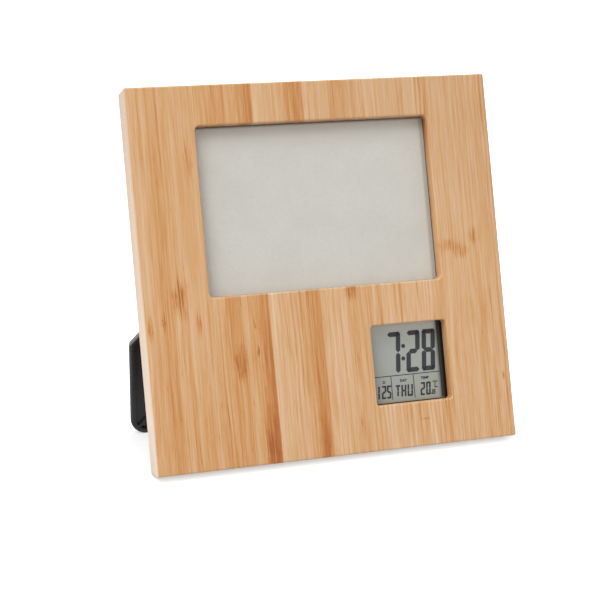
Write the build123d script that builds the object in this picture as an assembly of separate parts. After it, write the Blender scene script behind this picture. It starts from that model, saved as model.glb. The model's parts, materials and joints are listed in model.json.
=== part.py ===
"""Square bamboo photo frame with a small LCD clock and thermometer set in its lower right corner.

The frame stands on its lower back edge and on a folding stand. Everything that the board carries
is drawn upright first: X runs across the face, Y runs from the front face (0) to the back, and Z
runs up the face from its bottom edge (0). The whole is then leaned back and set on the floor, so
the finished part has +Z up, the front towards -Y and its origin on the floor, at the middle of the
space that the part takes up. Sizes are in millimetres and angles in degrees.
"""

import math
import os

from build123d import *

# Bamboo board
frame_width = 183.0
frame_height = 183.0
board_thickness = 17.0
edge_radius = 1.0
lip_thickness = 6.0
window_edge_radius = 0.9

# Photo window, set by the wood left around it, and what lies behind it
stile_width = 32.5
top_rail = 19.5
middle_rail = 20.3
photo_window_corner = 2.4
pocket_overlap = 6.0
pocket_corner = 3.0
sheet_clearance = 0.3
pane_thickness = 1.15
pane_slack = 0.05
card_thickness = 1.2
back_board_thickness = 3.0
back_board_ledge = 3.0

# Clock window and display
clock_window_width = 39.4
clock_window_height = 39.25
clock_window_bottom = 22.0
clock_window_corner = 1.6
display_shift = -2.95
display_rise = 1.725
display_view_width = 40.5
display_view_height = 41.0
display_border = 1.5
display_thickness = 1.8
display_clearance = 0.2

# Clock case
case_wall = 1.5
case_shelf = 1.0
case_front_wall = 1.4
case_corner = 2.0
case_clearance = 0.3
rear_cover_thickness = 1.4
boss_radius = 2.2
boss_margin = 0.4
ear_length = 7.0
ear_height = 12.0
connector_height = 1.4
connector_width = 2.0
connector_length = 30.0
board_clearance = 0.3
circuit_board_thickness = 1.0

# Parts on the circuit board
chip_radius = 4.0
chip_height = 1.2
chip_place = (-10.0, 5.0)
crystal_radius = 1.0
crystal_length = 6.0
crystal_place = (-3.0, 9.2)
sensor_radius = 0.9
sensor_length = 2.4
sensor_place = (18.0, 9.0)
buzzer_radius = 7.0
buzzer_height = 2.0
buzzer_place = (-13.2, -8.0)
sound_hole_radius = 0.6
sound_hole_circle = 3.0
sound_hole_count = 6

# Buttons on the back of the clock
button_names = ("mode", "set", "up", "down")
button_pitch = 10.0
button_row = 15.5
button_width = 5.0
button_height = 3.6
button_corner = 1.2
button_flange = 0.7
button_flange_thickness = 0.8
button_flange_gap = 0.2
button_proud = 0.8
button_travel = 0.4
button_clearance = 0.2
button_stem_radius = 1.5
button_stem_length = 0.2
switch_size = 4.5
switch_height = 1.8
plunger_radius = 1.2

# Coin cell, its contacts and its twist cover
cell_radius = 10.0
cell_thickness = 3.2
cell_place = (8.0, -7.0)
cell_clearance = 0.2
contact_thickness = 0.4
contact_width = 4.0
contact_length = 14.0
clip_thickness = 0.3
clip_width = 5.0
clip_foot = 1.6
cover_gap = 0.1
cover_rim = 0.6
cover_recess = 0.1
tab_reach = 1.0
tab_thickness = 0.7
tab_angle = 36.0
tab_count = 2
cover_twist = 45.0
cell_ring_wall = 1.0
cell_rib_width = 2.0
coin_slot_length = 13.0
coin_slot_width = 1.8
coin_slot_depth = 0.7

# Turn buttons that hold the back board
turn_button_inset = 3.5
turn_button_offset = 4.2
turn_button_width = 6.4
turn_button_reach = 10.0
turn_button_thickness = 1.0
turn_button_gap = 0.1
turn_button_bore_clearance = 0.05

# Screws: head radius, head height, shank radius, shank length
small_screw = (1.9, 0.9, 1.0, 5.0)
wood_screw = (2.3, 1.0, 1.2, 7.0)
thread_clearance = 0.02
head_clearance = 0.2
cross_width = 0.45
cross_depth = 0.45

# Folding stand and its two hinges
lean = 16.5
stand_open = 22.8
stand_thickness = 2.8
stand_fold_gap = 0.2
stand_inset = 0.3
stand_corner = 8.5
shoulder_corner = 3.0
shoulder_height = 51.0
shoulder_step = 6.0
arm_width = 13.0
crossbar_height = 20.0
crossbar_inner_corner = 10.0
stand_rim = 2.6
stand_recess = 1.8
stand_back_round = 0.8
stand_front_round = 1.3
rib_width = 1.2
rib_pitch = 24.0
hinge_drop = 39.0
hinge_axis_back = 0.9
pin_radius = 0.9
pin_clearance = 0.05
barrel_wall = 1.1
barrel_length = 8.0
arm_top_gap = 1.4
ear_wall = 1.7
ear_gap = 0.15
heel_length = 5.0
heel_thickness = 1.7
leaf_thickness = 1.2
leaf_gap = 0.1
leaf_above = 17.5
leaf_below = 4.0
leaf_screw_heights = (8.0, 14.0)
mortise_clearance = 0.2

# Depths and centres that follow from the sizes above
pane_back = lip_thickness + pane_thickness
card_front = pane_back + pane_slack
card_back = card_front + card_thickness
back_board_front = board_thickness - back_board_thickness
photo_window_bottom = clock_window_bottom + clock_window_height + middle_rail
photo_window = (frame_width - 2 * stile_width, frame_height - top_rail - photo_window_bottom)
photo_centre = (0.0, photo_window_bottom + photo_window[1] / 2)
photo_pocket = tuple(side + 2 * pocket_overlap for side in photo_window)
back_recess = tuple(side + 2 * back_board_ledge for side in photo_pocket)

clock_window_centre = (
    (photo_window[0] - clock_window_width) / 2,
    clock_window_bottom + clock_window_height / 2,
)
case_centre = (clock_window_centre[0] + display_shift, clock_window_centre[1] + display_rise)
display_glass = (display_view_width + 2 * display_border, display_view_height + 2 * display_border)
display_seat = tuple(side + 2 * display_clearance for side in display_glass)
case_cavity = tuple(side + 2 * case_shelf for side in display_seat)
case_size = tuple(side + 2 * case_wall for side in case_cavity)
display_front = lip_thickness + case_front_wall
display_back = display_front + display_thickness
circuit_front = display_back + connector_height
circuit_back = circuit_front + circuit_board_thickness
case_back = board_thickness - rear_cover_thickness
boss_inset = boss_radius + boss_margin
boss_places = [
    (side_x * (case_cavity[0] / 2 - boss_inset), side_z * (case_cavity[1] / 2 - boss_inset))
    for side_x in (-1, 1)
    for side_z in (-1, 1)
]
ear_screw_reach = case_size[0] / 2 + ear_length / 2
cell_front = circuit_back + contact_thickness
cover_radius = cell_radius + cell_clearance + cover_rim
cover_front = cell_front + cell_thickness + cover_gap
tab_radius = cover_radius + tab_reach
cell_ring_inner = tab_radius + cell_clearance
button_places = [
    ((index - (len(button_names) - 1) / 2) * button_pitch, button_row)
    for index in range(len(button_names))
]
button_flange_back = case_back - button_flange_gap
button_flange_front = button_flange_back - button_flange_thickness
switch_back = button_flange_front - button_stem_length - button_travel - cover_gap

turn_button_side = back_recess[0] / 2 - turn_button_inset
turn_button_rise = back_recess[1] / 2 + turn_button_offset
turn_button_places = [
    (side_x * turn_button_side, photo_centre[1] + side_z * turn_button_rise, side_z)
    for side_z in (-1, 1)
    for side_x in (-1, 1)
]
turn_button_front = board_thickness + turn_button_gap
turn_button_back = turn_button_front + turn_button_thickness

hinge_height = frame_height - hinge_drop
hinge_depth = board_thickness + hinge_axis_back
stand_front = board_thickness + stand_fold_gap
stand_back = stand_front + stand_thickness
barrel_radius = pin_radius + pin_clearance + barrel_wall
leaf_back = hinge_depth - barrel_radius - leaf_gap
leaf_front = leaf_back - leaf_thickness
foot_half_width = frame_width / 2 - stand_inset
arm_outer = foot_half_width - shoulder_step
arm_inner = arm_outer - arm_width
hinge_centre_x = (arm_outer + arm_inner) / 2
hinge_half_width = barrel_length / 2 + ear_gap + ear_wall
arm_top = barrel_radius + arm_top_gap

# Stance: how the leaning board and the open stand meet the floor
lean_sin = math.sin(math.radians(lean))
lean_cos = math.cos(math.radians(lean))
stand_rake = stand_open - lean
rake_sin = math.sin(math.radians(stand_rake))
rake_cos = math.cos(math.radians(stand_rake))
round_low = -(board_thickness - edge_radius) * lean_sin + edge_radius * lean_cos - edge_radius
hinge_over_floor = -hinge_depth * lean_sin + hinge_height * lean_cos - round_low
hinge_behind = hinge_depth * lean_cos + hinge_height * lean_sin
rear_offset = stand_back - hinge_depth
stand_reach = (hinge_over_floor + rear_offset * rake_sin) / rake_cos
front_end = edge_radius * (lean_cos + lean_sin) - edge_radius
foot_end = hinge_behind + stand_reach * rake_sin + rear_offset * rake_cos
round_top = frame_height - edge_radius
top_end = (board_thickness - edge_radius) * lean_cos + round_top * lean_sin + edge_radius
centre_shift = -(front_end + max(foot_end, top_end)) / 2
on_floor = Pos(0, centre_shift, -round_low) * Rot(-lean, 0, 0)
hinge_line = Pos(0, hinge_depth, hinge_height)
swing_open = hinge_line * Rot(stand_open, 0, 0) * hinge_line.inverse()


# Drawing helpers


def panel(sketch, front, back):
    """A sketch drawn on the face (X across, Z up), made solid from one depth to another."""
    face = Plane((0, front, 0), x_dir=(1, 0, 0), z_dir=(0, -1, 0))
    return extrude(face * sketch, amount=front - back)


def rounded(size, centre, radius):
    """A rectangle with rounded corners, on the face."""
    return Pos(*centre) * RectangleRounded(*size, radius)


def rod(radius, front, back, place=(0, 0)):
    """A round bar that runs straight back from the face at a place (x, z)."""
    return panel(Pos(*place) * Circle(radius), front, back)


def bar_across(radius, length, x, depth, height):
    """A round bar along X, centred on x."""
    return Pos(x, depth, height) * Rot(0, 90, 0) * Cylinder(radius, length)


def in_case(place):
    """A place given from the clock's centre, on the face."""
    return (case_centre[0] + place[0], case_centre[1] + place[1])


def screw(kind, place, seat):
    """A cross-head screw whose head rests on a seat at that depth and faces the back."""
    head_radius, head_height, shank_radius, shank_length = kind
    top = seat + head_height
    solid = rod(shank_radius, seat - shank_length, seat, place) + rod(head_radius, seat, top, place)
    for size in ((cross_width, head_radius * 1.2), (head_radius * 1.2, cross_width)):
        solid -= panel(Pos(*place) * Rectangle(*size), top - cross_depth, top + 1)
    return solid


def screw_hole(kind, place, seat, clearance):
    """The hole that a screw's shank goes into."""
    return rod(kind[2] + clearance, seat - kind[3] - clearance, seat + 1, place)


def head_hole(kind, place, seat):
    """The round sinking that takes a screw's head."""
    return rod(kind[0] + head_clearance, seat, seat + kind[1] + 5, place)


# Bamboo board


def hinge_mortise(side):
    centre = (side * hinge_centre_x, hinge_height + (leaf_above - leaf_below) / 2)
    size = (
        2 * (hinge_half_width + mortise_clearance),
        leaf_above + leaf_below + 2 * mortise_clearance,
    )
    return panel(Pos(*centre) * Rectangle(*size), leaf_front, board_thickness + 1)


def bamboo_frame():
    middle = Pos(0, board_thickness / 2, frame_height / 2)
    board = middle * Box(frame_width, board_thickness, frame_height)
    board = fillet(board.edges(), edge_radius)
    beyond = board_thickness + 1
    clock_window = (clock_window_width, clock_window_height)
    board -= panel(rounded(photo_window, photo_centre, photo_window_corner), -1, beyond)
    board -= panel(rounded(clock_window, clock_window_centre, clock_window_corner), -1, beyond)
    front_face = board.faces().sort_by(Axis.Y)[0]
    window_edges = [edge for wire in front_face.inner_wires() for edge in wire.edges()]
    board = fillet(window_edges, window_edge_radius)
    board -= panel(rounded(photo_pocket, photo_centre, pocket_corner), lip_thickness, beyond)
    board -= panel(rounded(back_recess, photo_centre, pocket_corner), back_board_front, beyond)
    case_pocket = tuple(side + 2 * case_clearance for side in case_size)
    board -= panel(rounded(case_pocket, case_centre, case_corner), lip_thickness, beyond)
    ear_pocket = (
        case_size[0] + 2 * (ear_length + case_clearance),
        ear_height + 2 * case_clearance,
    )
    board -= panel(rounded(ear_pocket, case_centre, case_corner), case_back, beyond)
    for side in (-1, 1):
        ear_screw_place = in_case((side * ear_screw_reach, 0))
        board -= screw_hole(wood_screw, ear_screw_place, case_back, thread_clearance)
        board -= hinge_mortise(side)
        for height in leaf_screw_heights:
            leaf_screw_place = (side * hinge_centre_x, hinge_height + height)
            board -= screw_hole(small_screw, leaf_screw_place, leaf_back, thread_clearance)
    for x, z, _ in turn_button_places:
        board -= screw_hole(wood_screw, (x, z), turn_button_back, thread_clearance)
    return board


# Photo stack


def loose_sheet(size, front, back):
    """A sheet that lies loose in its pocket."""
    cut = tuple(side - 2 * sheet_clearance for side in size)
    return panel(rounded(cut, photo_centre, pocket_corner), front, back)


def turn_button(x, z, side):
    """A metal tab that turns on its screw; it reaches over the back board when it is shut."""
    sketch = Pos(x, z) * Circle(turn_button_width / 2)
    sketch += Pos(x, z - side * turn_button_reach / 2) * Rectangle(turn_button_width, turn_button_reach)
    sketch += Pos(x, z - side * turn_button_reach) * Circle(turn_button_width / 2)
    tab = panel(sketch, turn_button_front, turn_button_back)
    return tab - rod(wood_screw[2] + turn_button_bore_clearance, 0, board_thickness + 9, (x, z))


# Clock


def clock_case():
    case = panel(rounded(case_size, case_centre, case_corner), lip_thickness, case_back)
    view = (display_view_width, display_view_height)
    case -= panel(Pos(*case_centre) * Rectangle(*view), 0, board_thickness)
    case -= panel(Pos(*case_centre) * Rectangle(*display_seat), display_front, board_thickness)
    case -= panel(Pos(*case_centre) * Rectangle(*case_cavity), circuit_front, board_thickness)
    corner = boss_radius + boss_inset
    for place in boss_places:
        post_centre = tuple(
            math.copysign(case_cavity[axis] / 2 - corner / 2, place[axis]) for axis in (0, 1)
        )
        case += panel(Pos(*in_case(post_centre)) * Rectangle(corner, corner), circuit_front, case_back)
        case -= rod(small_screw[2] + thread_clearance, circuit_front, board_thickness, in_case(place))
    return case


def connector_strips():
    """Two rubber strips that join the display's contacts to the circuit board."""
    reach = display_glass[1] / 2 - connector_width / 2
    strips = [
        panel(
            Pos(*in_case((0, side * reach))) * Rectangle(connector_length, connector_width),
            display_back,
            circuit_front,
        )
        for side in (-1, 1)
    ]
    return strips


def circuit_board():
    size = tuple(side - 2 * board_clearance for side in case_cavity)
    sketch = Pos(*case_centre) * Rectangle(*size)
    notch = boss_radius + boss_inset + board_clearance
    for place in boss_places:
        notch_centre = tuple(
            math.copysign(case_cavity[axis] / 2 - notch / 2, place[axis]) for axis in (0, 1)
        )
        sketch -= Pos(*in_case(notch_centre)) * Rectangle(notch, notch)
    return panel(sketch, circuit_front, circuit_back)


def chip():
    drop = rod(chip_radius, circuit_back, circuit_back + chip_height, in_case(chip_place))
    return fillet(drop.edges().group_by(Axis.Y)[-1], chip_height * 0.8)


def crystal():
    x, z = in_case(crystal_place)
    return bar_across(crystal_radius, crystal_length, x, circuit_back + crystal_radius, z)


def sensor():
    x, z = in_case(sensor_place)
    return bar_across(sensor_radius, sensor_length, x, circuit_back + sensor_radius, z)


def buzzer():
    return rod(buzzer_radius, case_back - buzzer_height, case_back, in_case(buzzer_place))


def switches():
    """One small push switch under each button."""
    bodies = []
    for place in button_places:
        square = Pos(*in_case(place)) * Rectangle(switch_size, switch_size)
        body = panel(square, circuit_back, circuit_back + switch_height)
        bodies.append(body + rod(plunger_radius, circuit_back, switch_back, in_case(place)))
    return bodies


def button(place):
    centre = in_case(place)
    cap_size = (button_width, button_height)
    flange_size = tuple(side + 2 * button_flange for side in cap_size)
    cap = panel(
        rounded(cap_size, centre, button_corner), button_flange_front, board_thickness + button_proud
    )
    cap = fillet(cap.edges().group_by(Axis.Y)[-1], button_proud / 2)
    flange = panel(rounded(flange_size, centre, button_corner), button_flange_front, button_flange_back)
    stem = rod(button_stem_radius, button_flange_front - button_stem_length, button_flange_front, centre)
    return cap + flange + stem


def rear_cover():
    ears = (case_size[0] + 2 * ear_length, ear_height)
    sketch = rounded(case_size, case_centre, case_corner) + rounded(ears, case_centre, case_corner)
    cover = panel(sketch, case_back, board_thickness)
    beyond = board_thickness + 1
    cell_centre = in_case(cell_place)
    cover -= rod(cover_radius + cover_gap, 0, beyond, cell_centre)
    for index in range(tab_count):
        turn = cover_twist + index * 360 / tab_count
        slot = bayonet_tab(tab_radius + cell_clearance, tab_angle + 6, 0, beyond)
        cover -= turned(slot, turn, cell_centre)
    ring_outer = cell_ring_inner + cell_ring_wall
    ring = Pos(*cell_centre) * (Circle(ring_outer) - Circle(cell_ring_inner))
    ring_front = cell_front + cell_clearance
    cover += panel(ring, ring_front, case_back)
    rib_outer = cell_ring_inner + cell_ring_wall / 2
    rib_inner = cell_radius + cell_clearance
    rib_sketch = Pos((rib_outer + rib_inner) / 2, 0) * Rectangle(rib_outer - rib_inner, cell_rib_width)
    rib_back = cover_front - tab_thickness - cell_clearance
    for index in range(3):
        spot = Pos(*cell_centre) * Rot(0, 0, -90 + index * 120)
        cover += panel(spot * rib_sketch, ring_front, rib_back)
    hole_size = (button_width + 2 * button_clearance, button_height + 2 * button_clearance)
    for place in button_places:
        cover -= panel(rounded(hole_size, in_case(place), button_corner), 0, beyond)
    buzzer_centre = in_case(buzzer_place)
    for index in range(sound_hole_count):
        angle = index * 2 * math.pi / sound_hole_count
        hole = (
            buzzer_centre[0] + sound_hole_circle * math.cos(angle),
            buzzer_centre[1] + sound_hole_circle * math.sin(angle),
        )
        cover -= rod(sound_hole_radius, 0, beyond, hole)
    for place in boss_places:
        seat = board_thickness - small_screw[1]
        cover -= rod(small_screw[2] + head_clearance / 2, 0, beyond, in_case(place))
        cover -= head_hole(small_screw, in_case(place), seat)
    for side in (-1, 1):
        seat = board_thickness - wood_screw[1]
        place = in_case((side * ear_screw_reach, 0))
        cover -= rod(wood_screw[2] + head_clearance / 2, 0, beyond, place)
        cover -= head_hole(wood_screw, place, seat)
    return cover


def turned(solid, angle, centre):
    """A solid turned about the line that runs straight back through a place on the face."""
    pivot = Pos(centre[0], 0, centre[1])
    return pivot * Rot(0, angle, 0) * solid


def bayonet_tab(radius, angle, front, back):
    """A wedge of a ring about the Y axis that reaches from inside the twist cover's rim outwards."""
    wedge = Circle(radius) - Circle(cell_radius + cell_clearance)
    half = math.radians(angle / 2)
    far = 2 * radius
    keep = Polyline((0, 0), (far, far * math.tan(half)), (far, -far * math.tan(half)), close=True)
    return panel(wedge & make_face(keep), front, back)


def battery_cover():
    centre = in_case(cell_place)
    top = board_thickness - cover_recess
    disc = rod(cover_radius, cover_front, top, centre)
    slot = Pos(*centre) * SlotOverall(coin_slot_length, coin_slot_width)
    disc -= panel(slot, top - coin_slot_depth, top + 1)
    for index in range(tab_count):
        tab = bayonet_tab(tab_radius, tab_angle, cover_front - tab_thickness, cover_front)
        disc += turned(tab, index * 360 / tab_count, centre)
    return disc


def coin_cell():
    cell = rod(cell_radius, cell_front, cell_front + cell_thickness, in_case(cell_place))
    return fillet(cell.edges().group_by(Axis.Y)[0], cell_thickness / 8)


def contact_minus():
    strip = Pos(*in_case(cell_place)) * Rectangle(contact_length, contact_width)
    return panel(strip, circuit_back, cell_front)


def contact_plus():
    """A spring clip that stands on the circuit board and bears on the cell's side."""
    x, z = in_case((cell_place[0], cell_place[1] + cell_radius))
    blade = Pos(x, z + clip_thickness / 2) * Rectangle(clip_width, clip_thickness)
    foot = Pos(x, z + clip_foot / 2) * Rectangle(clip_width, clip_foot)
    blade_back = cell_front + cell_thickness - tab_thickness - cell_clearance
    return panel(blade, circuit_back, blade_back) + panel(foot, circuit_back, circuit_back + clip_thickness)


# Folding stand


def stand_outline():
    """The stand's outline as it lies folded on the back: a low wide U whose arms reach up to the hinges."""
    foot = hinge_height - stand_reach
    shoulder = foot + shoulder_height
    half = Polyline(
        (0, foot),
        (foot_half_width, foot),
        (foot_half_width, shoulder),
        (arm_outer, shoulder + shoulder_step),
        (arm_outer, hinge_height - arm_top),
        (arm_inner, hinge_height - arm_top),
        (arm_inner, foot + crossbar_height),
        (0, foot + crossbar_height),
        close=True,
    )
    right = make_face(half)
    outline = right + mirror(right, about=Plane.YZ)
    low_corners = outline.vertices().group_by(Axis.Y)[0].sort_by(Axis.X)
    outline = fillet([low_corners[0], low_corners[-1]], stand_corner)
    shoulders = [
        vertex
        for vertex in outline.vertices()
        if abs(abs(vertex.X) - foot_half_width) < 0.01 and abs(vertex.Y - shoulder) < 0.01
    ]
    outline = fillet(shoulders, shoulder_corner)
    inner_corners = [
        vertex
        for vertex in outline.vertices()
        if abs(abs(vertex.X) - arm_inner) < 0.01 and abs(vertex.Y - foot - crossbar_height) < 0.01
    ]
    return fillet(inner_corners, crossbar_inner_corner)


def stand_ribs():
    """Stiffening ribs across the hollow side of the crossbar, out of its corners and across both arms."""
    foot = hinge_height - stand_reach
    ribs = Sketch()
    count = int(arm_inner // rib_pitch)
    for index in range(-count, count + 1):
        ribs += Pos(index * rib_pitch, foot + crossbar_height / 2) * Rectangle(rib_width, crossbar_height)
    for side in (-1, 1):
        gusset = Rot(0, 0, -side * 45) * Rectangle(2 * stand_corner, rib_width)
        ribs += Pos(side * (foot_half_width - stand_corner), foot + stand_corner) * gusset
    rise = foot + shoulder_height + shoulder_step + rib_pitch / 2
    while rise < hinge_height - arm_top - rib_pitch / 2:
        for side in (-1, 1):
            ribs += Pos(side * arm_inner, rise) * Rectangle(4 * arm_width, rib_width)
        rise += rib_pitch
    return ribs


def stand():
    outline = stand_outline()
    plate = panel(outline, stand_front, stand_back)
    plate = fillet(plate.edges().group_by(Axis.Y)[-1], stand_back_round)
    plate = fillet(plate.edges().group_by(Axis.Y)[0], stand_front_round)
    hollow = offset(outline, -stand_rim, kind=Kind.INTERSECTION) - stand_ribs()
    plate -= panel(hollow, stand_front - 1, stand_front + stand_recess)
    for side in (-1, 1):
        x = side * hinge_centre_x
        neck_height = arm_top + stand_rim
        neck = Pos(x, hinge_height - neck_height / 2) * Rectangle(barrel_length, neck_height)
        plate += panel(neck, hinge_depth, stand_back)
        plate += bar_across(barrel_radius, barrel_length, x, hinge_depth, hinge_height)
        plate += stop_heel(x)
        plate -= bar_across(pin_radius + pin_clearance, barrel_length + 1, x, hinge_depth, hinge_height)
    foot_level = Pos(0, 0, -frame_height) * Box(3 * frame_width, 3 * frame_width, 2 * frame_height)
    return on_floor * swing_open * plate - foot_level


def stop_heel(x):
    """The heel over the barrel that meets the hinge leaf and stops the stand when it is open."""
    heel_front = leaf_back + leaf_gap / 2
    heel = Pos(x, hinge_height + heel_length / 2) * Rectangle(barrel_length, heel_length)
    return swing_open.inverse() * panel(heel, heel_front, heel_front + heel_thickness)


def hinge_leaf(side):
    """The fixed half of a hinge: a leaf let into the board, with two ears that hold the pin."""
    x = side * hinge_centre_x
    leaf_centre = (x, hinge_height + (leaf_above - leaf_below) / 2)
    leaf = panel(
        Pos(*leaf_centre) * Rectangle(2 * hinge_half_width, leaf_above + leaf_below),
        leaf_front,
        leaf_back,
    )
    for end in (-1, 1):
        ear_x = x + end * (hinge_half_width - ear_wall / 2)
        root = Pos(ear_x, hinge_height) * Rectangle(ear_wall, 2 * barrel_radius)
        leaf += panel(root, leaf_front, hinge_depth)
        leaf += bar_across(barrel_radius, ear_wall, ear_x, hinge_depth, hinge_height)
    leaf -= bar_across(pin_radius, 3 * hinge_half_width, x, hinge_depth, hinge_height)
    for height in leaf_screw_heights:
        place = (x, hinge_height + height)
        leaf -= rod(small_screw[2] + head_clearance / 2, 0, board_thickness, place)
    return leaf


def hinge_pin(side):
    return bar_across(pin_radius, 2 * hinge_half_width, side * hinge_centre_x, hinge_depth, hinge_height)


# All pieces by name

upright = {
    "bamboo_frame": bamboo_frame(),
    "photo_pane": loose_sheet(photo_pocket, lip_thickness, pane_back),
    "grey_card": loose_sheet(photo_pocket, card_front, card_back),
    "spacer_pad": loose_sheet(photo_pocket, card_back, back_board_front),
    "back_board": loose_sheet(back_recess, back_board_front, board_thickness),
    "turn_button_screws": [
        screw(wood_screw, (x, z), turn_button_back + turn_button_gap) for x, z, _ in turn_button_places
    ],
    "clock_case": clock_case(),
    "display_glass": panel(
        Pos(*case_centre) * Rectangle(*display_glass), display_front, display_back
    ),
    "connector_strips": connector_strips(),
    "circuit_board": circuit_board(),
    "clock_chip": chip(),
    "quartz_crystal": crystal(),
    "temperature_sensor": sensor(),
    "alarm_buzzer": buzzer(),
    "push_switches": switches(),
    "rear_cover": rear_cover(),
    "coin_cell": coin_cell(),
    "contact_minus": contact_minus(),
    "contact_plus": contact_plus(),
    "battery_cover": battery_cover(),
    "case_screws": [
        screw(small_screw, in_case(place), board_thickness - small_screw[1]) for place in boss_places
    ],
    "ear_screws": [
        screw(wood_screw, in_case((side * ear_screw_reach, 0)), board_thickness - wood_screw[1])
        for side in (-1, 1)
    ],
    "hinge_leaf_left": hinge_leaf(-1),
    "hinge_leaf_right": hinge_leaf(1),
    "hinge_pin_left": hinge_pin(-1),
    "hinge_pin_right": hinge_pin(1),
    "hinge_screws": [
        screw(small_screw, (side * hinge_centre_x, hinge_height + height), leaf_back)
        for side in (-1, 1)
        for height in leaf_screw_heights
    ],
}
for number, spot in enumerate(turn_button_places, start=1):
    upright[f"turn_button_{number}"] = turn_button(*spot)
for name, place in zip(button_names, button_places):
    upright[f"{name}_button"] = button(place)


def set_down(shape):
    """A piece leaned back and set on the floor; a list becomes a group of separate solids."""
    if isinstance(shape, list):
        return Compound(children=[on_floor * solid for solid in shape])
    return on_floor * shape


pieces = {name: set_down(shape) for name, shape in upright.items()}
pieces["stand"] = stand()

os.makedirs("parts", exist_ok=True)
for name, solid in pieces.items():
    export_step(solid, f"parts/{name}.step")
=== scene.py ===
"""Looks for a bamboo photo frame clock: wood, card, display, plastics, metal and a plain stage."""

import json
import math
from functools import cached_property

import bpy
from bpy.props import FloatProperty, FloatVectorProperty, PointerProperty
from bpy.types import Operator, Panel, PropertyGroup
from mathutils import Color, Matrix, Vector


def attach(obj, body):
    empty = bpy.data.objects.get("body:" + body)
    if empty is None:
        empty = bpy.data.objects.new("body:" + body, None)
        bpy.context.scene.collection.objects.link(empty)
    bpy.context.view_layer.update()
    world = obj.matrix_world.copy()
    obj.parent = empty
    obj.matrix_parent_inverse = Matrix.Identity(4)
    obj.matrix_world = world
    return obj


bl_info = {
    "name": "Bamboo Frame Clock",
    "version": (1, 0, 0),
    "blender": (4, 5, 0),
    "location": "View3D > Sidebar > Frame Clock",
    "description": "Finishes and stage for a leaning bamboo photo frame with a clock",
    "category": "Object",
}

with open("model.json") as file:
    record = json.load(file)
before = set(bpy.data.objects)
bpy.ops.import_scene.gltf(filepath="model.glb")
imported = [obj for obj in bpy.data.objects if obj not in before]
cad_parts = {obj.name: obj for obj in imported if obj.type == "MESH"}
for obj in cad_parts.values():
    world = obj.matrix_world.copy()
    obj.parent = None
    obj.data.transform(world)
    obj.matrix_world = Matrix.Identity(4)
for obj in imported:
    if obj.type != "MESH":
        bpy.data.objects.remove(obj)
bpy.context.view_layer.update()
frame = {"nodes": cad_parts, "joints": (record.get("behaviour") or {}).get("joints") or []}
NODES = frame["nodes"]
JOINTS = {j["name"]: j for j in frame["joints"]}
MM = 0.001

# The face's own axes: across it, into its depth and up it, with the origin at the front's bottom middle.
ACROSS = Vector((1.0, 0.0, 0.0))
DEPTH = Vector(JOINTS["turn_button_1_turn"]["axis"]).normalized()
UPWARD = ACROSS.cross(DEPTH)
HINGE_DEPTH, HINGE_HEIGHT = 0.0179, 0.144
CORNER = Vector(JOINTS["stand_fold"]["pos_m"]) - DEPTH * HINGE_DEPTH - UPWARD * HINGE_HEIGHT
LEAN = math.atan2(UPWARD.y, UPWARD.z)
FACE = Matrix.Translation(CORNER) @ Matrix.Rotation(-LEAN, 4, "X")
FROM_BEHIND = Matrix.Rotation(math.pi, 4, "Z")
STAND_OPENING = math.radians(-JOINTS["stand_fold"]["range_deg"][0])

# Edges in mm on the face: the board's back, the photo window, the clock window, and what the case shows of
# the display and how deep its paler rim is. Then the folded stand: its arms' outside and its shoulders' top.
BOARD_DEPTH = 17.0
PHOTO_HALF, PHOTO_FOOT, PHOTO_TOP = 59.0, 81.55, 163.5
CLOCK_FOOT, CLOCK_TOP = 22.0, 61.25
VIEW_RIGHT, VIEW_FOOT, RIM_DEPTH = 56.6, 22.85, 9.0
ARM_OUTER, SHOULDER_TOP = 85.2, 62.36

# Strips of the front ply from left to right: left edge in mm, tone at the left, tone at the right.
FRONT_STRIPS = (
    (-91.5, 0.68, 0.66), (-82.2, 0.57, 0.61), (-75.0, 0.68, 0.66), (-57.5, 0.60, 0.61),
    (-50.5, 0.49, 0.53), (-44.0, 0.65, 0.63), (-37.6, 0.50, 0.36), (-30.6, 0.82, 0.74),
    (-25.0, 0.72, 0.64), (-12.8, 0.52, 0.42), (-4.6, 0.73, 0.75), (8.0, 0.64, 0.64),
    (21.6, 0.76, 0.72), (46.8, 0.78, 0.76), (53.0, 0.68, 0.58), (59.7, 0.75, 0.66),
)
HALF_GLUE_LINE = 0.08

# Strips of the plies behind: their mean width in mm, and how many strips each ply is shifted by.
REAR_STRIP, PLY_SHIFT = 13.0, 4.37

# Noises of the bamboo's grain: waves per mm across and along the fibres, detail and roughness.
GRAIN = {
    "broad": (0.3, 0.006, 2.0, 0.55),
    "fibre": (0.85, 0.014, 4.0, 0.68),
    "fine": (1.8, 0.05, 2.0, 0.6),
    "dash": (1.7, 0.13, 1.0, 0.55),
    "calm": (0.1, 0.005, 1.0, 0.55),
    "tint": (0.14, 0.02, 2.0, 0.55),
    "streaks": (0.8, 0.08, 3.0, 0.65),
}

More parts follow.
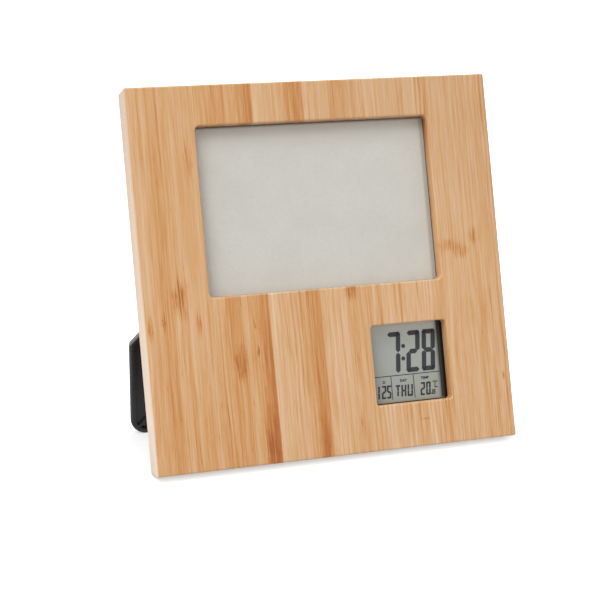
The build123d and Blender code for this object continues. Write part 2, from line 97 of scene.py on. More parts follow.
# Joints of the culm by outline: middle across, middle up, half width, half height in mm, and darkness.
CULM_MARKS = {
    "torn": (
        (-73.0, 82.0, 5.2, 11.0, 0.32), (-46.6, 49.6, 4.2, 10.0, 0.28), (-34.3, 4.0, 4.4, 30.0, 0.26),
        (-8.1, 2.0, 4.2, 26.0, 0.14), (63.8, 97.8, 5.6, 4.2, 0.22), (70.5, 95.4, 5.4, 5.2, 0.26),
        (77.2, 101.6, 4.8, 5.0, 0.20),
    ),
    "frayed": (
        (-88.6, 69.6, 1.6, 7.4, 0.24), (-81.9, 71.4, 1.0, 6.4, 0.28), (-65.6, 69.0, 2.0, 7.4, 0.20),
        (-63.6, 148.0, 2.6, 15.0, 0.16), (-38.3, 68.0, 0.7, 4.6, 0.34), (-37.8, 53.7, 1.1, 2.8, 0.42),
        (11.2, 79.6, 4.0, 6.4, 0.34), (87.4, 30.4, 1.2, 2.8, 0.42),
    ),
    "clean": ((43.8, 13.4, 3.6, 0.6, 0.22),),
}

# Faint flow clouds of moulded plastic, in waves per mm.
FLOW = (0.04, 0.04, 0.02)

# Which strokes of a seven-stroke cell each sign lights; i and j are the upper and lower middle stems.
SIGNS = {
    "0": "abcdef", "1": "bc", "2": "abged", "5": "afgcd", "7": "abc", "8": "abcdefg",
    "C": "afed", "H": "febcg", "T": "aij", "U": "febcd",
}

# For each stroke of a cell: which flank is the outer one, and which strokes it may meet at its start and end.
MITRES = {
    "a": (1, "f", "b"), "b": (1, "a", "-"), "c": (1, "-", "d"),
    "d": (-1, "e", "c"), "e": (-1, "-", "d"), "f": (-1, "a", "-"),
}

# Shares of a stroke's width: how far a free end runs on, and how far a mitred corner swells.
FREE_END, SWELL = 0.45, 0.14

# Faces of a closed six-sided bar.
BAR_FACES = 8

# Readout in mm on the face. The time: sign and left edge. The lower row: sign, left edge, foot, width and
# height. Signs no taller than a thin sign have thin strokes.
TIME_ROW = (("7", 28.5), ("2", 38.8), ("8", 47.0))
LOWER_ROW = (
    ("1", 21.3, 24.6, 2.3, 6.5), ("2", 24.6, 24.6, 2.35, 6.5), ("5", 27.25, 24.6, 2.35, 6.5),
    ("T", 31.8, 24.8, 2.7, 6.0), ("H", 34.9, 24.8, 2.7, 6.0), ("U", 38.2, 24.8, 2.9, 6.0),
    ("2", 45.1, 24.5, 2.45, 6.5), ("0", 48.1, 24.5, 2.45, 6.5),
    ("8", 51.3, 24.6, 1.75, 2.3), ("C", 52.9, 27.7, 1.8, 3.4),
)
THIN_SIGN = 3.5

# The colon's foot across and its dots' heights above the time's foot, then its dots' height and width.
COLON_FOOT, COLON_RISES, COLON_DOT = 37.12, (7.1, 13.3), (2.3, 2.0)

# Ruled lines from one end to the other, the decimal point and the degree sign, and the words' middles.
RULES = ((17.0, 35.6, 56.4, 35.6), (30.3, 23.8, 30.3, 35.3), (42.15, 23.8, 42.15, 35.3))
SMALL_DOTS, SMALL_DOT = ((51.2, 25.0), (52.6, 30.9)), (0.9, 0.6)
SMALL_WORDS = (("D", 26.5, 32.7), ("DAY", 36.7, 32.8), ("TEMP", 48.15, 33.1))

# The small words' height and how much they are thickened, and the gap between the glass and all signs, in mm.
WORD_HEIGHT, WORD_WEIGHT, GLASS_GAP = 1.25, 0.09, 0.01

# Words on the back in mm: middle across, middle up and height. Then the thickness of their ink.
BACK_WORDS = (
    ("MODE", 21.35, 55.2, 1.5), ("SET", 31.35, 55.2, 1.5), ("UP", 41.35, 55.2, 1.5),
    ("DOWN", 51.35, 55.2, 1.5), ("OPEN", 32.6, 48.2, 1.4), ("CLOSE", 55.2, 48.2, 1.4),
)
LABEL_INK = 0.05

# Height of a capital letter as a share of the font's size.
CAP_HEIGHT = 0.7

# Square lamps in metres: name, place and side. Then the place they are turned to, and half the floor's width.
LAMPS = (("key", (-0.95, -0.95, 2.2), 1.5), ("side", (-1.2, -0.1, 0.12), 0.7))
LAMP_AIM = Vector((0.0, 0.0, 0.08))
HALF_FLOOR = 6.0


def shade(value, factor=1.0, plus=0.0):
    """A written display colour, scaled and lifted, as the linear RGBA a socket takes."""
    shown = Color([min(1.0, c * factor + plus) for c in value])
    return (*shown.from_srgb_to_scene_linear(), 1.0)


def grey(value):
    """An even grey as linear RGBA."""
    return (value, value, value, 1.0)


def colour(label, note, red, green, blue):
    """A colour property given in 0 to 255 display values."""
    return FloatVectorProperty(
        name=label, description=note, subtype="COLOR_GAMMA", min=0.0, max=1.0,
        default=(red / 255, green / 255, blue / 255),
    )


def number(label, note, value, **kind):
    """A number property."""
    return FloatProperty(name=label, description=note, default=value, **kind)


def length(label, note, metres):
    """A length property in metres."""
    return number(label, note, metres, min=0.0, unit="LENGTH", precision=5)


def ratio(label, note, value):
    """A plain share from 0 to 1."""
    return number(label, note, value, min=0.0, max=1.0, subtype="FACTOR")


class FrameClockBamboo(PropertyGroup):
    """Tones and ply of the laminated bamboo."""

    umber: colour("Umber", "Joints of the culm", 164, 90, 42)
    russet: colour("Russet", "Darkest strips, near the root", 187, 118, 60)
    amber: colour("Amber", "Dark strips", 204, 149, 92)
    honey: colour("Honey", "Middle strips", 214, 171, 126)
    straw: colour("Straw", "Light strips", 223, 189, 154)
    pale: colour("Pale", "Palest fibres", 232, 205, 175)
    blush: colour("Blush", "Rosy tint in some strips", 219, 176, 142)
    edge_low: colour("Edge low", "Planed side edges near the foot", 225, 209, 191)
    edge: colour("Edge", "Planed side edges at half height", 212, 188, 162)
    edge_high: colour("Edge high", "Planed side edges near the top", 202, 181, 161)
    ply: length("Ply", "Thickness of one ply", 0.00567)
    half_width: length("Half width", "Half the board's width", 0.0915)
    roughness: ratio("Roughness", "Roughness of the satin lacquer", 0.44)


class FrameClockPaper(PropertyGroup):
    """Colours of the pane, the card and the boards behind it."""

    card: colour("Card", "Grey card in the photo window", 211, 209, 201)
    # Painted light: a paler card colour near the window's top and left edges.
    card_painted_light: colour("Card rim", "Card close to the window's top and left edge", 229, 227, 219)
    speck: colour("Speck", "Fibre specks in the card", 176, 172, 162)
    pulp: colour("Pulp", "Soft board behind the card", 186, 170, 146)
    backing: colour("Backing", "Hardboard back", 66, 54, 45)
    backing_fibre: colour("Backing fibre", "Light fibres in the hardboard", 98, 80, 66)
    pane: colour("Pane", "Clear acrylic", 246, 249, 248)
    # Painted shade on the card under the window's lip and beside its right edge.
    lip_shade: colour("Lip shade", "Card in the dark under the window's lip", 84, 58, 12)
    pane_cover: ratio("Pane cover", "How much the clear pane hides", 0.05)


class FrameClockDisplay(PropertyGroup):
    """Layout and colours of the liquid crystal readout."""

    ground: colour("Ground", "Display without strokes", 167, 173, 167)
    ground_dim: colour("Ground dim", "Darker lower part of the display", 156, 160, 153)
    # Painted light: a paler ground at the display's top, under the window's edge.
    ground_painted_light: colour("Ground high", "Top of the display, under the window's edge", 208, 214, 206)
    border: colour("Border", "Dark border of the display", 16, 14, 15)
    stroke: colour("Stroke", "Lit strokes", 50, 51, 57)
    plane: length("Plane", "Depth of the display's face behind the front", 0.0074)
    lift: length("Lift", "Thickness of the strokes and words", 0.00004)
    time_base: length("Time base", "Foot of the time above the bottom edge", 0.0366)
    time_height: length("Time height", "Height of the time", 0.0206)
    time_width: length("Time width", "Width of one large cell", 0.0071)
    time_stroke: length("Time stroke", "Stroke width of the time", 0.00235)
    small_stroke: length("Small stroke", "Stroke width of the lower row", 0.0009)
    rule_stroke: length("Rule", "Width of the ruled lines", 0.0004)
    slant: number("Slant", "Lean of the signs, run over rise", 0.085)


class FrameClockPlastic(PropertyGroup):
    """Colours of the moulded pieces."""

    black: colour("Black", "Stand and covers", 38, 38, 40)
    case: colour("Case", "Clock case around the display", 17, 16, 18)
    bezel: colour("Bezel", "Case beside the display's right edge", 64, 62, 57)
    sill: colour("Sill", "Case along the display's foot", 150, 144, 130)
    # Painted highlight: a paler grey standing in for light that catches the stand's slanted shoulders.
    painted_highlight: colour("Rubbed", "Stand's shoulders, rubbed by handling", 122, 121, 122)
    button: colour("Button", "Press buttons", 62, 62, 65)
    label: colour("Label", "Printed words on the back", 196, 196, 192)
    grain: length("Grain", "Size of the moulded grain", 0.00035)


class FrameClockMetal(PropertyGroup):
    """Colours of the plated metal pieces and the electronics."""

    zinc: colour("Zinc", "Zinc-plated steel", 186, 186, 182)
    nickel: colour("Nickel", "Nickel plate", 212, 208, 200)
    brass: colour("Brass", "Buzzer disc", 206, 168, 92)
    mask: colour("Mask", "Circuit board lacquer", 26, 84, 46)
    trace: colour("Trace", "Copper runs under the lacquer", 44, 116, 62)
    rubber: colour("Rubber", "Contact strips", 148, 84, 96)
    resin: colour("Resin", "Potting drop", 18, 18, 19)


class FrameClockStage(PropertyGroup):
    """Floor, lamps and camera."""

    floor: colour("Floor", "Floor as it lights the object", 200, 200, 200)
    sheet: colour("Sheet", "Floor as the camera sees it", 250, 250, 250)
    under: colour("Under", "Floor seen under the object", 206, 206, 206)
    hem_glow: ratio("Hem glow", "White added to the floor seen under the object", 0.42)
    hem: length("Hem", "How far round the feet the shadow stays", 0.02)
    sky: number("Sky", "Soft light from all round", 0.6, min=0.0)
    key: number("Key", "Large lamp at the upper left", 42.0, unit="POWER")
    side: number("Side", "Low lamp at the left", 2.8, unit="POWER")
    lens: number("Lens", "Focal length on a 36 mm sensor", 81.91, unit="CAMERA")
    eye: FloatVectorProperty(
        name="Eye", description="Where the camera stands", subtype="TRANSLATION",
        default=(-0.197126, -0.624548, 0.249737),
    )
    turn: FloatVectorProperty(
        name="Turn", description="How the camera is turned", subtype="EULER",
        default=(1.3073407, 0.0079012, -0.2929679),
    )


class FrameClockSettings(PropertyGroup):
    """All settings of the frame clock."""

    bamboo: PointerProperty(type=FrameClockBamboo)
    paper: PointerProperty(type=FrameClockPaper)
    display: PointerProperty(type=FrameClockDisplay)
    plastic: PointerProperty(type=FrameClockPlastic)
    metal: PointerProperty(type=FrameClockMetal)
    stage: PointerProperty(type=FrameClockStage)


class Wiring:
    """A node tree being wired: each call lays nodes and returns a node or the socket it gives."""

    def __init__(self, tree):
        self.tree = tree

    def feed(self, socket, value):
        """Link a socket to another, or set its own value; a display colour turns linear."""
        if isinstance(value, bpy.types.NodeSocket):
            self.tree.links.new(value, socket)
        else:
            socket.default_value = shade(value) if isinstance(value, Color) else value

    def lay(self, kind, inputs=None, **settings):
        """Add a node, set its options and feed its inputs by name or place."""
        node = self.tree.nodes.new(kind)
        for key, value in settings.items():
            setattr(node, key, value)
        for key, value in (inputs or {}).items():
            self.feed(node.inputs[key], value)
        return node

    def give(self, kind, inputs=None, **settings):
        """The first output of a new node."""
        return self.lay(kind, inputs, **settings).outputs[0]

    def reckon(self, kind, *values):
        """One step of arithmetic."""
        return self.give("ShaderNodeMath", dict(enumerate(values)), operation=kind)

    def fold(self, kind, whole, *rest):
        """The same step of arithmetic over several values, one after another."""
        for value in rest:
            whole = self.reckon(kind, whole, value)
        return whole

    def product(self, *values):
        """All values multiplied."""
        return self.fold("MULTIPLY", *values)

    def split(self, vector):
        """The three numbers of a vector."""
        return self.lay("ShaderNodeSeparateXYZ", {0: vector}).outputs

    def join(self, x=0.0, y=0.0, z=0.0):
        """A vector from three numbers."""
        return self.give("ShaderNodeCombineXYZ", {0: x, 1: y, 2: z})

    def seen(self):
        """Whether the camera sees a point, straight, mirrored or through a clear piece."""
        path = self.lay("ShaderNodeLightPath").outputs
        return self.fold("MAXIMUM", path["Is Camera Ray"], path["Is Glossy Ray"], path["Is Transmission Ray"])


class Finish(Wiring):
    """A material being wired round one surface shader."""

    def __init__(self, name):
        self.material = bpy.data.materials.new(name)
        self.material.use_nodes = True
        super().__init__(self.material.node_tree)
        self.tree.nodes.clear()
        self.surface = self.lay("ShaderNodeBsdfPrincipled")
        self.lay("ShaderNodeOutputMaterial", {"Surface": self.surface.outputs["BSDF"]})

    def set(self, **inputs):
        """Feed the shader's inputs; an underscore stands for a space."""
        for key, value in inputs.items():
            self.feed(self.surface.inputs[key.replace("_", " ")], value)

    @cached_property
    def spot(self):
        """The surface point in the face's own axes, in millimetres."""
        point = self.lay("ShaderNodeTexCoord").outputs["Object"]
        offset = -(Matrix.Rotation(LEAN, 3, "X") @ CORNER) / MM
        return self.give(
            "ShaderNodeMapping",
            {"Vector": point, "Location": offset, "Rotation": (LEAN, 0.0, 0.0), "Scale": (1 / MM,) * 3},
        )

    def stretch(self, vector, factors):
        """A vector scaled along each axis."""
        return self.give("ShaderNodeVectorMath", {0: vector, 1: factors}, operation="MULTIPLY")

    def shift(self, vector, by):
        """A vector moved."""
        return self.give("ShaderNodeVectorMath", {0: vector, 1: by}, operation="ADD")

    def distance(self, vector):
        """How long a vector is."""
        return self.lay("ShaderNodeVectorMath", {0: vector}, operation="LENGTH").outputs["Value"]

    def cloud(self, waves, detail=3.0, rough=0.55, warp=0.0, at=None):
        """Smooth noise about 0.5, with so many waves per unit along each axis, or along all three."""
        factors = (waves,) * 3 if isinstance(waves, float) else waves
        point = self.stretch(self.spot if at is None else at, factors)
        return self.give(
            "ShaderNodeTexNoise",
            {"Vector": point, "Scale": 1.0, "Detail": detail, "Roughness": rough, "Distortion": warp},
        )

    def sway(self, waves, detail, by):
        """Noise that swings to both sides of zero by a length."""
        return self.reckon("MULTIPLY_ADD", self.cloud(waves, detail), 2 * by, -by)

    def step(self, value, low, high, start=0.0, stop=1.0):
        """A smooth step from start to stop while value goes from low to high."""
        return self.give(
            "ShaderNodeMapRange", {0: value, 1: low, 2: high, 3: start, 4: stop},
            interpolation_type="SMOOTHSTEP",
        )

    def fall(self, value, low, high):
        """A smooth step down from 1 to 0."""
        return self.step(value, low, high, 1.0, 0.0)

    def swing(self, noise, start, stop):
        """A smooth step from start to stop over the usual range of a noise."""
        return self.step(noise, 0.3, 0.7, start, stop)

    def ramp(self, value, stops, way="LINEAR"):
        """A colour ramp through (place, linear colour) stops."""
        node = self.lay("ShaderNodeValToRGB", {0: value})
        node.color_ramp.interpolation = way
        band = node.color_ramp.elements
        while len(band) < len(stops):
            band.new(0.5)
        for element, (at, tone) in zip(band, stops):
            element.position = at
            element.color = shade(tone) if isinstance(tone, Color) else tone
        return node.outputs[0]

    def mix(self, share, first, second):
        """Two colours mixed by a share."""
        return self.lay("ShaderNodeMix", {0: share, 6: first, 7: second}, data_type="RGBA").outputs[2]

    def sheen(self, noise, start, stop, shine):
        """A roughness that follows a noise, and a shine."""
        self.set(Roughness=self.swing(noise, start, stop), Specular_IOR_Level=shine)

    def bump(self, height, strength, distance):
        """Small relief from a height, strength without unit and distance in metres."""
        relief = {"Height": height, "Strength": strength, "Distance": distance}
        self.set(Normal=self.give("ShaderNodeBump", relief))


class Moulding(Finish):
    """A moulded plastic with its spark grain, relief and sheen."""

    def __init__(self, name, grain, roughness, shine):
        super().__init__(name)
        self.spark = self.cloud(MM / grain, 2.0, 0.6)
        self.sheen(self.spark, roughness - 0.07, roughness + 0.09, shine)
        self.bump(self.spark, 0.16, 0.00006)

    def clouded(self, tone, flow):
        """A colour that is paler on the sparks and in the flow clouds."""
        sparks, clouds = self.swing(self.spark, 0.0, 0.45), self.step(flow, 0.35, 0.7, 0.0, 0.4)
        return self.mix(self.reckon("ADD", sparks, clouds), tone, shade(tone, 1.22, 0.01))


def dress(finish, *names):
    """Give a material to carried-over pieces."""
    for name in names:
        slots = NODES[name].data.materials
        if len(slots) == 0:
            slots.append(finish)
        for index in range(len(slots)):
            slots[index] = finish


def keep(name, mesh, body):
    """Make a mesh an object that rides on a body."""
    piece = bpy.data.objects.new(name, mesh)
    bpy.context.scene.collection.objects.link(piece)
    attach(piece, body)


def resting_line(name):
    """Where a piece stands on the floor: half the line's length and how far back it lies."""
    sole = 0.5 * MM
    piece = NODES[name]
    points = [piece.matrix_world @ v.co for v in piece.data.vertices]
    lowest = min(p.z for p in points)
    feet = [p for p in points if p.z < lowest + sole]
    return max(abs(p.x) for p in feet), sum(p.y for p in feet) / len(feet)


def evaluated_mesh(holder):
    """The mesh that an object's curve or modifiers make; the object itself goes."""
    bpy.context.scene.collection.objects.link(holder)
    bpy.context.view_layer.update()
    mesh = bpy.data.meshes.new_from_object(holder.evaluated_get(bpy.context.evaluated_depsgraph_get()))
    bpy.data.objects.remove(holder)
    return mesh


def lettering(words, height, thickness, place, finish, weight=0.0):
    """Words as a closed mesh, centred on a place given as a matrix and standing off against its Y axis."""
    curve = bpy.data.curves.new("words", "FONT")
    curve.body = words
    curve.size = height / CAP_HEIGHT
    curve.align_x = curve.align_y = "CENTER"
    curve.extrude = thickness / 2
    curve.offset = weight
    curve.resolution_u = 4
    flat = evaluated_mesh(bpy.data.objects.new("words", curve))
    bpy.data.curves.remove(curve)
    upright = Matrix.Rotation(math.pi / 2, 4, "X")
    flat.transform(place @ Matrix.Translation((0.0, -thickness / 2, 0.0)) @ upright)
    flat.materials.clear()
    flat.materials.append(finish)
    return flat


def joined(name, meshes):
    """Several meshes of one finish as one mesh."""
    points, faces = [], []
    for mesh in meshes:
        first = len(points)
        points += [v.co.copy() for v in mesh.vertices]
        faces += [[first + i for i in p.vertices] for p in mesh.polygons]
    whole = bpy.data.meshes.new(name)
    whole.from_pydata(points, [], faces)
    for finish in meshes[0].materials:
        whole.materials.append(finish)
    for mesh in meshes:
        bpy.data.meshes.remove(mesh)
    whole.update()
    return whole


def strip_tones(f, x, half):
    """The front ply's tone across the board, and a share from 0 to 1 that tells its strips apart."""
    def share(edge):
        return (edge + half) / (2 * half)

    rights = [left for left, _, _ in FRONT_STRIPS[1:]] + [half]
    tones, numbers = [], []
    for index, ((left, tone_left, tone_right), right) in enumerate(zip(FRONT_STRIPS, rights)):
        tones.append((share(left + HALF_GLUE_LINE), grey(tone_left)))
        tones.append((share(right - HALF_GLUE_LINE), grey(tone_right)))
        numbers.append((share(left), grey(index / len(FRONT_STRIPS))))
    across = f.reckon("DIVIDE", f.reckon("ADD", x, half), 2 * half)
    return f.split(f.ramp(across, tones))[0], f.split(f.ramp(across, numbers, "CONSTANT"))[0]


def rear_tones(f, x, y, ply):
    """Tones of the plies behind the front one, whose strips differ from ply to ply."""
    layer = f.reckon("FLOOR", f.reckon("DIVIDE", y, ply))
    lane = f.reckon("MULTIPLY_ADD", layer, PLY_SHIFT, f.reckon("DIVIDE", x, REAR_STRIP))
    cells = f.lay("ShaderNodeTexVoronoi", {"W": lane, "Scale": 1.0}, voronoi_dimensions="1D")
    return f.step(f.split(cells.outputs["Color"])[0], 0.0, 1.0, 0.42, 0.84)


def bamboo_grain(f, strip):
    """The noises of the grain, which wander a little and start afresh in every strip."""
    wander = f.sway((0.05, 0.05, 0.012), 1.0, 1.7)
    grain_spot = f.shift(f.spot, f.join(wander, 0.0, f.product(strip, 900.0)))
    return {
        name: f.cloud((across, across, along), detail, rough, at=grain_spot)
        for name, (across, along, detail, rough) in GRAIN.items()
    }


def culm_joints(f, y, noise):
    """How far the culm's joints darken the front ply: soft patches, some torn or frayed along the fibres."""
    torn = f.join(f.sway((0.35, 0.0, 0.3), 2.0, 2.0), 0.0, f.sway((0.9, 0.0, 0.05), 2.0, 6.0))
    frayed = f.join(f.sway((0.8, 0.0, 0.3), 2.0, 1.2), 0.0, f.sway((1.6, 0.0, 0.04), 1.0, 6.0))
    outlines = {"clean": f.spot, "torn": f.shift(f.spot, torn), "frayed": f.shift(f.spot, frayed)}
    patches = []
    for outline, marks in CULM_MARKS.items():
        for middle, height, half_width, half_height, depth in marks:
            offset = f.shift(outlines[outline], (-middle, 0.0, -height))
            reach = f.distance(f.stretch(offset, (1.0 / half_width, 0.0, 1.0 / half_height)))
            patches.append(f.step(reach, 0.25, 1.1, depth, 0.0))
    return f.product(
        f.fold("ADD", *patches), f.fall(y, 2.0, 3.0),
        f.step(noise["streaks"], 0.34, 0.64, 1.35, 0.5), f.step(noise["fine"], 0.36, 0.64, 1.3, 0.6),
    )


def window_shade(f, x, y, z):
    """Painted shade on the photo window's walls: how much darker they are under the top lip and deep in the
    right wall.
    """
    below_top = f.fall(z, PHOTO_TOP + 0.2, PHOTO_TOP + 0.7)
    within = f.fall(f.reckon("ABSOLUTE", x), PHOTO_HALF + 0.5, PHOTO_HALF + 1.0)
    # Painted shade under the top lip.
    lip = f.product(
        f.step(y, 0.8, 3.5, 0.0, 0.26), f.step(z, PHOTO_TOP - 0.9, PHOTO_TOP - 0.2), below_top, within,
    )
    # Painted shade deep in the right wall.
    painted_wall_shade = f.product(
        f.step(y, 2.0, 5.0), f.step(x, PHOTO_HALF - 3.0, PHOTO_HALF - 1.0), below_top, within,
        f.step(z, PHOTO_TOP - 25.5, PHOTO_TOP - 2.5, 0.1, 0.5),
        f.step(z, PHOTO_FOOT - 0.55, PHOTO_FOOT + 0.45),
    )
    return f.reckon("ADD", lip, painted_wall_shade)


def bamboo_finish(look):
    """Straight-grained bamboo: strips, fibres, flecks and the culm's joints under satin lacquer, with painted
    shade in the photo window and towards the top right.
    """
    f = Finish("bamboo")
    x, y, z = f.split(f.spot)
    ply, half = look.ply / MM, look.half_width / MM
    front, strip = strip_tones(f, x, half)
    noise = bamboo_grain(f, strip)

    behind = f.reckon("GREATER_THAN", y, ply - 0.05)
    tone = f.reckon("MULTIPLY_ADD", behind, f.reckon("SUBTRACT", rear_tones(f, x, y, ply), front), front)
    lines = f.reckon("MULTIPLY_ADD", noise["fine"], 0.6, noise["fibre"])
    lines = f.reckon("MULTIPLY_ADD", noise["broad"], 0.5, lines)
    gain = f.product(
        f.step(x, -70.0, 40.0, 0.8, 1.1), f.step(z, 60.0, 120.0, 1.1, 0.9),
        f.step(noise["calm"], 0.35, 0.65, 0.75, 1.15),
    )
    tone = f.reckon("MULTIPLY_ADD", f.reckon("SUBTRACT", lines, 1.05), gain, tone)
    faded = f.product(f.step(front, 0.4, 0.58, 0.06, 0.0), f.step(z, 30.0, 75.0))
    root = f.product(f.step(z, 20.0, 70.0, 0.04, 0.0), f.fall(x, -60.0, -45.0))
    flecks = f.product(f.step(noise["dash"], 0.64, 0.8, 0.0, 0.24), f.step(z, 60.0, 90.0, 1.0, 0.45))
    seam = f.step(f.reckon("PINGPONG", y, ply / 2), 0.0, 0.14, 0.10, 0.0)
    tone = f.fold(
        "SUBTRACT", f.reckon("ADD", tone, faded), root, flecks, culm_joints(f, y, noise),
        window_shade(f, x, y, z), seam,
    )

    wood = f.ramp(tone, [
        (0.0, look.umber), (0.25, look.russet), (0.45, look.amber),
        (0.65, look.honey), (0.85, look.straw), (1.0, look.pale),
    ])
    rosy = f.product(f.step(noise["tint"], 0.42, 0.66, 0.0, 0.3), f.step(tone, 0.42, 0.62))
    wood = f.mix(rosy, wood, look.blush)
    # Painted shade: the wood is darkened towards the top right, where less light falls.
    painted_shade_top_right = f.product(f.step(z, 70.0, 170.0, 0.0, 0.07), f.step(x, -60.0, 60.0, 0.4, 1.0))
    wood = f.mix(painted_shade_top_right, wood, grey(0.0))
    # The planed sides have a paler tone of their own, with painted light and shade that change with height.
    planed = f.step(f.reckon("ABSOLUTE", x), half - 0.9, half - 0.1, 0.0, 0.8)
    edge = f.ramp(f.reckon("DIVIDE", z, 2 * half), [
        (0.12, look.edge_low), (0.52, look.edge), (0.92, look.edge_high),
    ])
    f.set(Base_Color=f.mix(planed, wood, edge), Specular_IOR_Level=0.45)
    f.set(Roughness=f.step(noise["fibre"], 0.25, 0.75, look.roughness + 0.08, look.roughness - 0.04))
    f.bump(f.reckon("MULTIPLY_ADD", noise["fine"], 0.5, noise["fibre"]), 0.12, 0.00012)
    return f.material


def card_finish(look):
    """Matte grey card with faint fibres and specks, with painted light near the window's top and left edges
    and painted shade under its lip and along its right edge.
    """
    f = Finish("grey_card")
    x, _, z = f.split(f.spot)
    mottle = f.cloud(0.05)
    fibre = f.cloud((1.6, 1.6, 2.4), 4.0, 0.7, 0.6)
    specks = f.step(f.cloud(0.9, 5.0, 0.75), 0.58, 0.72, 0.0, 0.4)
    paper = look.card
    for share in (f.swing(fibre, 0.0, 0.38), f.swing(mottle, 0.0, 0.16), specks):
        paper = f.mix(share, paper, look.speck)
    # Painted light: the card is made paler near the window's left and top edges, against the shade there.
    left = f.fall(x, -PHOTO_HALF - 0.4, -PHOTO_HALF + 2.8)
    high = f.step(z, PHOTO_TOP - 11.0, PHOTO_TOP - 3.5, 0.0, 0.5)
    paper = f.mix(f.reckon("MAXIMUM", left, high), paper, look.card_painted_light)
    # Painted shade: the card darkens under the window's lip, along its right edge and in a band beside it.
    painted_lip_shadow = f.fold(
        "MAXIMUM", f.step(x, PHOTO_HALF - 0.5, PHOTO_HALF + 0.2),
        f.step(z, PHOTO_TOP - 1.5, PHOTO_TOP + 0.25),
        f.step(x, PHOTO_HALF - 2.7, PHOTO_HALF - 1.4, 0.0, 0.34),
    )
    f.set(Base_Color=f.mix(painted_lip_shadow, paper, look.lip_shade))
    f.sheen(fibre, 0.8, 0.95, 0.2)
    f.bump(fibre, 0.12, 0.00008)
    return f.material


def pane_finish(look):
    """Clear acrylic with a faint film of wiped streaks."""
    f = Finish("clear_acrylic")
    film = f.cloud((0.03, 0.03, 0.09))
    f.set(Base_Color=f.mix(film, look.pane, shade(look.pane, 0.97)))
    f.set(Alpha=look.pane_cover)
    f.sheen(film, 0.04, 0.09, 0.5)
    f.material.surface_render_method = "BLENDED"
    return f.material


def pulp_finish(look):
    """Soft grey-brown pulp board."""
    f = Finish("soft_board")
    lumps = f.cloud(0.6, 5.0, 0.7)
    f.set(Base_Color=f.mix(f.swing(lumps, 0.0, 0.5), look.pulp, look.speck))
    f.sheen(lumps, 0.85, 0.98, 0.15)
    f.bump(lumps, 0.3, 0.0003)
    return f.material


def backing_finish(look):
    """Dark hardboard: pressed fibres of several lengths with a smooth face."""
    f = Finish("hardboard")
    hairs = f.cloud((1.8, 1.8, 0.7), 5.0, 0.7, 1.4)
    cross = f.cloud((0.6, 1.6, 1.9), 5.0, 0.7, 1.1)
    mottle = f.cloud(0.09, 4.0, 0.65)
    share = f.product(f.step(hairs, 0.44, 0.66, 0.0, 0.8), f.swing(mottle, 0.6, 1.0))
    share = f.reckon("MAXIMUM", share, f.step(cross, 0.5, 0.7, 0.0, 0.6))
    pressed = f.mix(f.step(mottle, 0.36, 0.64), shade(look.backing, 0.84), look.backing)
    f.set(Base_Color=f.mix(share, pressed, look.backing_fibre))
    f.sheen(hairs, 0.5, 0.72, 0.35)
    f.bump(hairs, 0.15, 0.0001)
    return f.material


def moulded_finish(name, tone, grain, roughness, shine=0.5):
    """Plain moulded plastic of one colour."""
    f = Moulding(name, grain, roughness, shine)
    f.set(Base_Color=f.clouded(tone, f.cloud(FLOW)))
    return f.material


def stand_finish(look):
    """The stand's black plastic, with a painted highlight along the slanted shoulders."""
    f = Moulding("stand_plastic", look.grain, 0.26, 0.32)
    flow = f.cloud(FLOW)
    folded = f.give("ShaderNodeVectorRotate", {
        "Vector": f.spot, "Center": (0.0, HINGE_DEPTH / MM, HINGE_HEIGHT / MM), "Angle": -STAND_OPENING,
    }, rotation_type="X_AXIS")
    x, _, z = f.split(folded)
    aside = f.reckon("ABSOLUTE", x)
    inside = f.reckon("SUBTRACT", ARM_OUTER + SHOULDER_TOP, f.reckon("ADD", aside, z))
    # Painted highlight along the slanted shoulders, where light catches their rounded edge.
    painted_highlight = f.product(
        f.fall(inside, 0.6, 2.2), f.step(aside, ARM_OUTER - 1.7, ARM_OUTER + 0.8),
        f.fall(z, SHOULDER_TOP, SHOULDER_TOP + 1.0), f.swing(flow, 1.0, 0.8),
    )
    f.set(Base_Color=f.mix(painted_highlight, f.clouded(look.black, flow), look.painted_highlight))
    return f.material


def case_finish(look):
    """The clock's dull black case, paler where its rim borders the display's right edge and foot."""
    f = Moulding("case_plastic", look.grain, 0.6, 0.1)
    x, y, z = f.split(f.spot)
    rim = f.fall(y, RIM_DEPTH, RIM_DEPTH + 0.4)
    bezel = f.product(
        f.fall(x, VIEW_RIGHT - 0.1, VIEW_RIGHT + 1.6),
        f.step(x, VIEW_RIGHT - 0.6, VIEW_RIGHT - 0.4), rim,
    )
    sill = f.product(
        f.fall(z, VIEW_FOOT, VIEW_FOOT + 0.15), f.step(z, VIEW_FOOT - 0.5, VIEW_FOOT - 0.25),
        f.fall(x, VIEW_RIGHT - 2.0, VIEW_RIGHT + 1.4), rim,
    )
    black = f.mix(f.swing(f.spark, 0.0, 0.45), look.case, shade(look.case, 1.3))
    black = f.mix(bezel, black, look.bezel)
    f.set(Base_Color=f.mix(sill, black, look.sill))
    return f.material


def plated_finish(name, tone, roughness):
    """Plated metal: fine drawn lines and patches that went dull."""
    f = Finish(name)
    drawn = f.cloud((0.8, 5.0, 9.0), 2.0)
    dull = f.cloud(0.22, 4.0, 0.65)
    f.set(Base_Color=f.mix(f.step(dull, 0.35, 0.7), tone, shade(tone, 0.84)), Metallic=1.0)
    worn, lined = f.swing(dull, 0.0, 0.12), f.swing(drawn, roughness, roughness + 0.1)
    f.set(Roughness=f.reckon("ADD", worn, lined))
    f.bump(drawn, 0.08, 0.00004)
    return f.material


